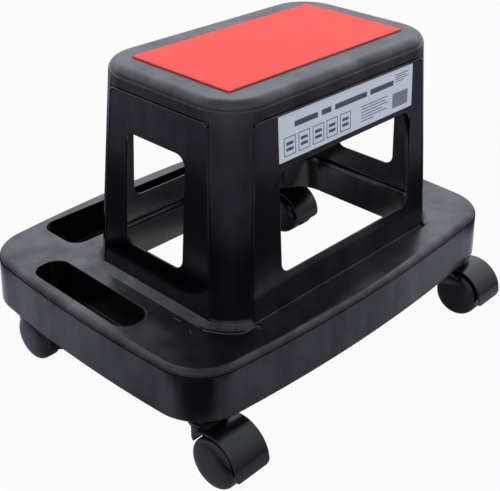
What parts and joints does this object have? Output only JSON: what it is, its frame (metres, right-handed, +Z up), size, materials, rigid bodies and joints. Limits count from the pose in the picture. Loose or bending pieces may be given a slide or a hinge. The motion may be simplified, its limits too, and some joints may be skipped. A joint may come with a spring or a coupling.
{
  "type": "rolling mechanic seat",
  "caption": "Low rolling workshop seat: moulded plastic stool with windowed sides on a wide base with open tool trays, red seat mat, and swivelling twin-wheel casters.",
  "frame": {"origin": "middle of the plan bounding box at floor level", "axes": "+Z up; +X along the long side of the base, with the short tray at -X; -Y is the long side that carries the label, +Y the long side with the long tray"},
  "size_m": [0.4558, 0.36, 0.3214],
  "materials": {
    "body_plastic": "satin black moulded polypropylene",
    "mat_red": "matt red foam sheet",
    "label_silver": "satin silver film",
    "caster_plastic": "satin black moulded nylon",
    "wheel_plastic": "satin black moulded nylon",
    "steel": "plain zinc-plated steel"
  },
  "bodies": {
    "body": {"body_moulding": "body_plastic", "seat_mat": "mat_red", "side_label": "label_silver", "stem_grip_ring_front_left": "steel", "stem_grip_ring_front_right": "steel", "stem_grip_ring_rear_left": "steel", "stem_grip_ring_rear_right": "steel"},
    "swivel_front_left": {"caster_housing_front_left": "caster_plastic", "caster_stem_front_left": "steel", "caster_axle_front_left": "steel"},
    "wheel_a_front_left": {"wheel_a_front_left": "wheel_plastic"},
    "wheel_b_front_left": {"wheel_b_front_left": "wheel_plastic"},
    "swivel_front_right": {"caster_housing_front_right": "caster_plastic", "caster_stem_front_right": "steel", "caster_axle_front_right": "steel"},
    "wheel_a_front_right": {"wheel_a_front_right": "wheel_plastic"},
    "wheel_b_front_right": {"wheel_b_front_right": "wheel_plastic"},
    "swivel_rear_left": {"caster_housing_rear_left": "caster_plastic", "caster_stem_rear_left": "steel", "caster_axle_rear_left": "steel"},
    "wheel_a_rear_left": {"wheel_a_rear_left": "wheel_plastic"},
    "wheel_b_rear_left": {"wheel_b_rear_left": "wheel_plastic"},
    "swivel_rear_right": {"caster_housing_rear_right": "caster_plastic", "caster_stem_rear_right": "steel", "caster_axle_rear_right": "steel"},
    "wheel_a_rear_right": {"wheel_a_rear_right": "wheel_plastic"},
    "wheel_b_rear_right": {"wheel_b_rear_right": "wheel_plastic"}
  },
  "joints": [
    {"name": "swivel_front_left", "type": "hinge", "parent": "body", "child": "swivel_front_left", "pos_m": [-0.187, -0.12295, 0.062], "axis": [0, 0, 1], "continuous": true},
    {"name": "roll_a_front_left", "type": "hinge", "parent": "swivel_front_left", "child": "wheel_a_front_left", "pos_m": [-0.187, -0.14895, 0.025], "axis": [1, 0, 0], "continuous": true},
    {"name": "roll_b_front_left", "type": "hinge", "parent": "swivel_front_left", "child": "wheel_b_front_left", "pos_m": [-0.187, -0.14895, 0.025], "axis": [1, 0, 0], "continuous": true},
    {"name": "swivel_front_right", "type": "hinge", "parent": "body", "child": "swivel_front_right", "pos_m": [0.187, -0.12295, 0.062], "axis": [0, 0, 1], "continuous": true},
    {"name": "roll_a_front_right", "type": "hinge", "parent": "swivel_front_right", "child": "wheel_a_front_right", "pos_m": [0.187, -0.14895, 0.025], "axis": [1, 0, 0], "continuous": true},
    {"name": "roll_b_front_right", "type": "hinge", "parent": "swivel_front_right", "child": "wheel_b_front_right", "pos_m": [0.187, -0.14895, 0.025], "axis": [1, 0, 0], "continuous": true},
    {"name": "swivel_rear_left", "type": "hinge", "parent": "body", "child": "swivel_rear_left", "pos_m": [-0.187, 0.14105, 0.062], "axis": [0, 0, 1], "continuous": true},
    {"name": "roll_a_rear_left", "type": "hinge", "parent": "swivel_rear_left", "child": "wheel_a_rear_left", "pos_m": [-0.187, 0.11505, 0.025], "axis": [1, 0, 0], "continuous": true},
    {"name": "roll_b_rear_left", "type": "hinge", "parent": "swivel_rear_left", "child": "wheel_b_rear_left", "pos_m": [-0.187, 0.11505, 0.025], "axis": [1, 0, 0], "continuous": true},
    {"name": "swivel_rear_right", "type": "hinge", "parent": "body", "child": "swivel_rear_right", "pos_m": [0.187, 0.14105, 0.062], "axis": [0, 0, 1], "continuous": true},
    {"name": "roll_a_rear_right", "type": "hinge", "parent": "swivel_rear_right", "child": "wheel_a_rear_right", "pos_m": [0.187, 0.11505, 0.025], "axis": [1, 0, 0], "continuous": true},
    {"name": "roll_b_rear_right", "type": "hinge", "parent": "swivel_rear_right", "child": "wheel_b_rear_right", "pos_m": [0.187, 0.11505, 0.025], "axis": [1, 0, 0], "continuous": true}
  ]
}
